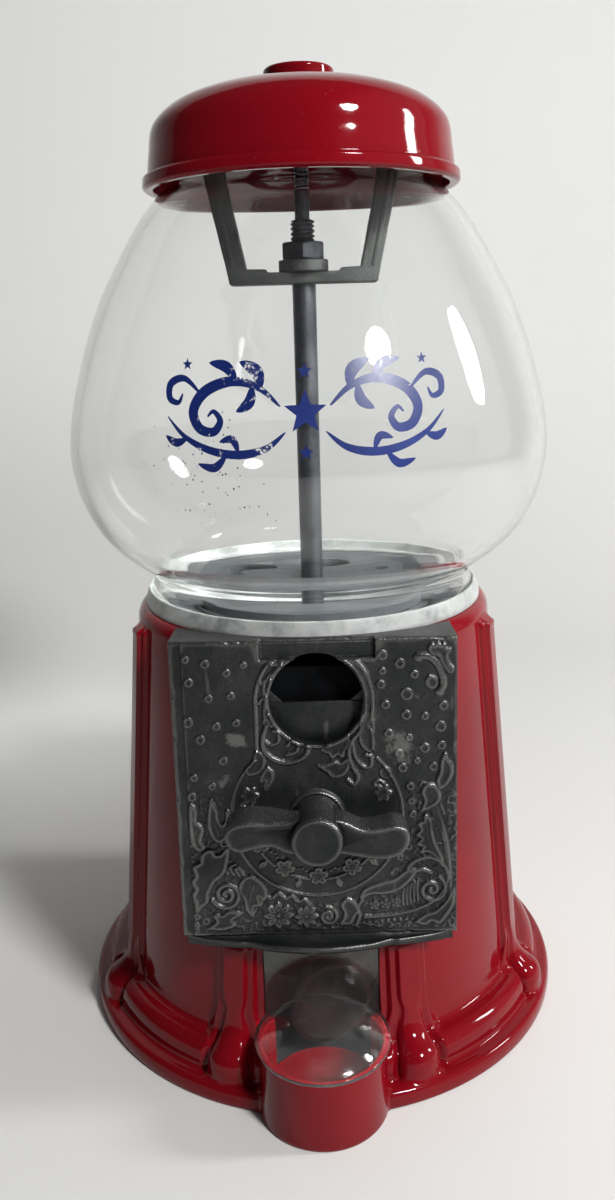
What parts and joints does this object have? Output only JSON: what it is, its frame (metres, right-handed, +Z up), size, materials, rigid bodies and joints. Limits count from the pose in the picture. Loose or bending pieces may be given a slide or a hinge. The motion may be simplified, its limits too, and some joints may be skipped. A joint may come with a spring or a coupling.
{
  "type": "gumball machine",
  "caption": "Counter-top gumball machine with a cast red base and lid, glass globe, geared turn-handle coin mechanism, dispensing wheel and clear chute flap.",
  "frame": {"origin": "centre of the base's resting plane, on the globe's axis", "axes": "+Z up along the globe's axis, -Y towards the coin mechanism, +X to the machine's left as it faces the viewer"},
  "size_m": [0.21, 0.2271, 0.381],
  "materials": {
    "red_enamel": "gloss",
    "pewter": "antique satin",
    "dark_casting": "satin",
    "dark_steel": "satin",
    "steel": "satin",
    "zinc_sheet": "satin",
    "brass": "satin",
    "grey_plastic": "matte",
    "black_plastic": "matte",
    "milky_rubber": "satin",
    "globe_glass": "clear gloss",
    "clear_plastic": "clear gloss"
  },
  "bodies": {
    "base": {"base_casting": "red_enamel", "bottom_plate": "zinc_sheet", "bottom_washer": "steel", "bottom_nut": "steel", "hopper_deck": "grey_plastic", "deck_floor": "zinc_sheet", "wheel_bush": "brass", "guard_plate": "grey_plastic", "guard_screws": "steel", "globe_gasket": "milky_rubber", "globe": "globe_glass", "globe_bracket": "dark_casting", "bracket_washer": "dark_casting", "bracket_nut": "dark_steel", "center_rod": "dark_steel", "faceplate": "pewter", "faceplate_screws": "steel", "handle_bushing": "brass", "coin_lip": "pewter", "mech_frame": "dark_casting", "mech_screws": "steel", "pawl_pin": "steel", "pawl_spring": "steel", "lever_pin": "steel", "lever_spring": "steel", "chute_guide": "black_plastic", "flap_pin": "steel"},
    "lid": {"lid": "red_enamel"},
    "knob_washer": {"knob_washer": "steel"},
    "lid_knob": {"lid_knob": "red_enamel"},
    "handle": {"handle": "pewter", "handle_pin": "steel", "handle_shaft": "steel", "coin_wheel": "brass", "ratchet_wheel": "steel", "shaft_collar": "steel", "drive_pinion": "brass"},
    "dispensing_wheel": {"gumball_wheel": "grey_plastic", "drive_tube": "steel", "crown_gear": "brass"},
    "ratchet_pawl": {"ratchet_pawl": "steel"},
    "coin_lever": {"coin_lever": "steel"},
    "chute_flap": {"chute_flap": "clear_plastic"}
  },
  "joints": [
    {"name": "handle_turn", "type": "hinge", "parent": "base", "child": "handle", "pos_m": [0, -0.08168, 0.11438], "axis": [0, -0.9976, 0.0697], "continuous": true},
    {"name": "wheel_turn", "type": "hinge", "parent": "base", "child": "dispensing_wheel", "pos_m": [0, 0, 0.16], "axis": [0, 0, 1], "continuous": true},
    {"name": "flap_open", "type": "hinge", "parent": "base", "child": "chute_flap", "pos_m": [0, -0.079, 0.0605], "axis": [-1, 0, 0], "range_deg": [0, 32]},
    {"name": "lid_lift", "type": "slide", "parent": "base", "child": "lid", "axis": [0, 0, 1], "range_m": [0, 0.09]},
    {"name": "knob_rise", "type": "slide", "parent": "lid", "child": "knob_washer", "axis": [0, 0, 1], "range_m": [0, 0.00508]},
    {"name": "knob_turn", "type": "hinge", "parent": "knob_washer", "child": "lid_knob", "pos_m": [0, 0, 0.376], "axis": [0, 0, 1], "range_deg": [0, 1440]},
    {"name": "pawl_swing", "type": "hinge", "parent": "base", "child": "ratchet_pawl", "pos_m": [-0.016, -0.06444, 0.13172], "axis": [0, -0.9976, 0.0697], "range_deg": [0, 12], "stiffness_Nm_per_rad": 0.02, "springref_deg": -5.73},
    {"name": "lever_swing", "type": "hinge", "parent": "base", "child": "coin_lever", "pos_m": [0.03, -0.07415, 0.15045], "axis": [0, -0.9976, 0.0697], "range_deg": [0, 10], "stiffness_Nm_per_rad": 0.02, "springref_deg": -5.73}
  ],
  "couplings": [
    {"joint": "wheel_turn", "follows": "handle_turn", "ratio": -0.33333},
    {"joint": "knob_turn", "follows": "knob_rise", "rad_per_m": 4947.4}
  ]
}
